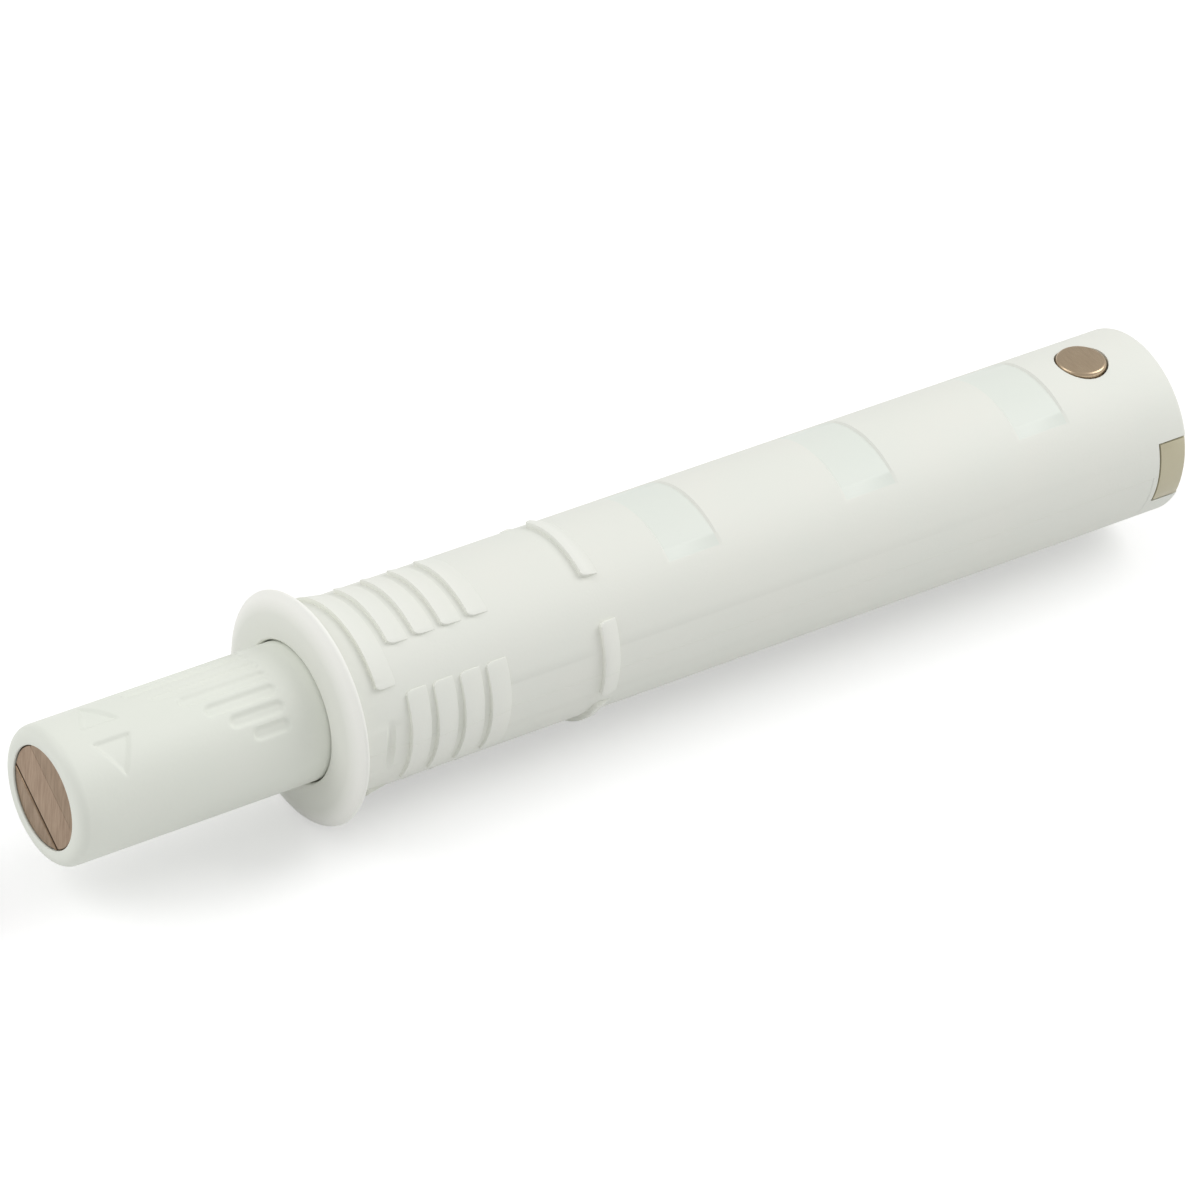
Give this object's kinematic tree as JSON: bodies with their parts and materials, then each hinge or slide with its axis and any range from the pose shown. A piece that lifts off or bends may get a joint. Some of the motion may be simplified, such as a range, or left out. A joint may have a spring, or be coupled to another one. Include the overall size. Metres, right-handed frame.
{
  "type": "push to open catch",
  "caption": "Round drill-in push-to-open catch: sprung, self-latching plunger with an adjustable magnetic tip in a barbed, flanged plastic housing.",
  "frame": {"origin": "centre of the flange's seating face, on the catch's axis, where it lies against the edge of the drilled hole", "axes": "+X along the catch into the drilled hole, away from the door; +Z towards the side with the pivot pin's head"},
  "size_m": [0.0648, 0.0118, 0.0118],
  "materials": {
    "housing_plastic": "moulded nylon, white, fine matt texture",
    "tip_plastic": "moulded nylon, white, smooth satin",
    "plug_plastic": "moulded acetal, beige grey",
    "carriage_plastic": "moulded acetal, natural white",
    "pin_steel": "turned steel, nickel plated",
    "spring_steel": "drawn spring wire",
    "magnet_plate": "nickel-plated sintered magnet",
    "pole_steel": "ground steel, nickel plated"
  },
  "bodies": {
    "housing": {"housing": "housing_plastic", "rear_plug": "plug_plastic", "pivot_pin": "pin_steel", "main_spring": "spring_steel"},
    "carriage": {"carriage": "carriage_plastic"},
    "lever": {"latch_lever": "pin_steel"},
    "magnet_pack": {"magnet_carrier": "carriage_plastic", "magnet_block": "magnet_plate", "pole_plate_front": "pole_steel", "pole_plate_back": "pole_steel"},
    "tip": {"tip_sleeve": "tip_plastic"}
  },
  "joints": [
    {"name": "plunger_travel", "type": "slide", "parent": "housing", "child": "carriage", "axis": [1, 0, 0], "range_m": [0, 0.0132], "stiffness_N_per_m": 380, "springref_m": -0.008, "deforming": ["main_spring"]},
    {"name": "lever_swing", "type": "hinge", "parent": "housing", "child": "lever", "pos_m": [0.04645, 0, 0.00195], "axis": [0, 0, 1], "range_deg": [-3.6, 0]},
    {"name": "tip_feed", "type": "slide", "parent": "carriage", "child": "magnet_pack", "axis": [-1, 0, 0], "range_m": [0, 0.004]},
    {"name": "tip_turn", "type": "hinge", "parent": "magnet_pack", "child": "tip", "pos_m": [-0.005, 0, 0], "axis": [-1, 0, 0], "range_deg": [0, 300]}
  ],
  "couplings": [
    {"joint": "lever_swing", "follows": "plunger_travel", "rad_per_m": -4.71},
    {"joint": "tip_turn", "follows": "tip_feed", "rad_per_m": 1309}
  ]
}
